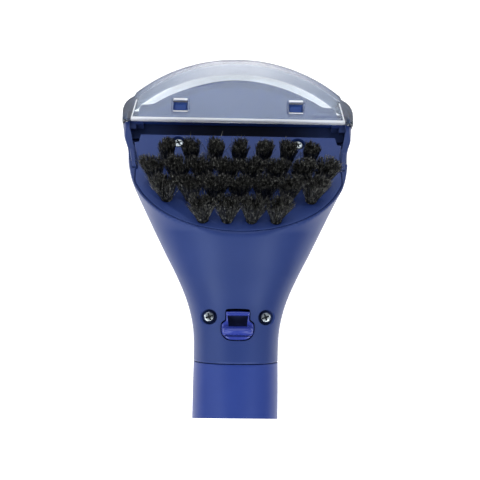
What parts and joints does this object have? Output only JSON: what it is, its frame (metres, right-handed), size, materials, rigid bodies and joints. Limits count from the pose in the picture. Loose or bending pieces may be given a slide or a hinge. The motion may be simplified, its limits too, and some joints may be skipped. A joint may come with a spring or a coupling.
{
  "type": "spray extraction brush tool",
  "caption": "Hand-held brush and suction head for spot cleaning fabric: bristle tufts behind a clear suction nozzle, a fan spray tip and a hose connector collar.",
  "frame": {"origin": "under the middle of the box round the whole head, at the height of its lowest point", "axes": "+X across the head, +Y from the connector mouth to the nose, +Z out of the brush side"},
  "size_m": [0.1158, 0.1812, 0.0726],
  "materials": {
    "shell_plastic": "fine satin moulded, navy blue",
    "plate_plastic": "satin moulded, navy blue",
    "collar_plastic": "satin moulded, navy blue",
    "tip_plastic": "semi-gloss blue",
    "clear_plastic": "clear, slightly cool tint",
    "bristle": "black crimped nylon filament",
    "steel": "zinc plated",
    "rubber": "matt",
    "tube": "translucent silicone",
    "white_plastic": "natural acetal"
  },
  "bodies": {
    "tool_body": {"upper_shell": "shell_plastic", "lower_shell": "shell_plastic", "brush_plate": "plate_plastic", "nozzle_seal": "rubber", "brush_screw_left": "steel", "brush_screw_right": "steel", "neck_screw_left": "steel", "neck_screw_right": "steel", "spray_socket": "white_plastic", "solution_tube": "tube", "solution_inlet": "white_plastic", "valve_spring": "steel", "connector_collar": "collar_plastic", "collar_seal": "rubber", "latch_pin": "steel", "latch_spring": "steel", "tuft_front_1": "bristle", "tuft_front_2": "bristle", "tuft_front_3": "bristle", "tuft_front_4": "bristle", "tuft_front_5": "bristle", "tuft_front_6": "bristle", "tuft_front_7": "bristle", "tuft_second_1": "bristle", "tuft_second_2": "bristle", "tuft_second_3": "bristle", "tuft_second_4": "bristle", "tuft_second_5": "bristle", "tuft_second_6": "bristle", "tuft_second_7": "bristle", "tuft_second_8": "bristle", "tuft_third_1": "bristle", "tuft_third_2": "bristle", "tuft_third_3": "bristle", "tuft_third_4": "bristle", "tuft_third_5": "bristle", "tuft_third_6": "bristle", "tuft_third_7": "bristle", "tuft_heel_1": "bristle", "tuft_heel_2": "bristle", "tuft_heel_3": "bristle", "tuft_heel_4": "bristle"},
    "clear_nozzle": {"clear_nozzle": "clear_plastic"},
    "spray_tip": {"spray_tip": "tip_plastic", "spray_tip_o_ring": "rubber"},
    "latch": {"latch_lever": "collar_plastic"},
    "poppet": {"valve_poppet": "white_plastic"}
  },
  "joints": [
    {"name": "nozzle_slide", "type": "slide", "parent": "tool_body", "child": "clear_nozzle", "axis": [0, 0.9659, -0.2588], "range_m": [0, 0.06]},
    {"name": "tip_pull", "type": "slide", "parent": "tool_body", "child": "spray_tip", "axis": [0, 0, 1], "range_m": [0, 0.012]},
    {"name": "latch_press", "type": "hinge", "parent": "tool_body", "child": "latch", "pos_m": [0, -0.0772, 0.02178], "axis": [1, 0, 0], "range_deg": [-6, 0], "stiffness_Nm_per_rad": 0.05, "springref_deg": 2.86},
    {"name": "valve_push", "type": "slide", "parent": "tool_body", "child": "poppet", "axis": [0, 1, 0], "range_m": [0, 0.002], "stiffness_N_per_m": 150, "springref_m": -0.002, "deforming": ["valve_spring"]}
  ]
}
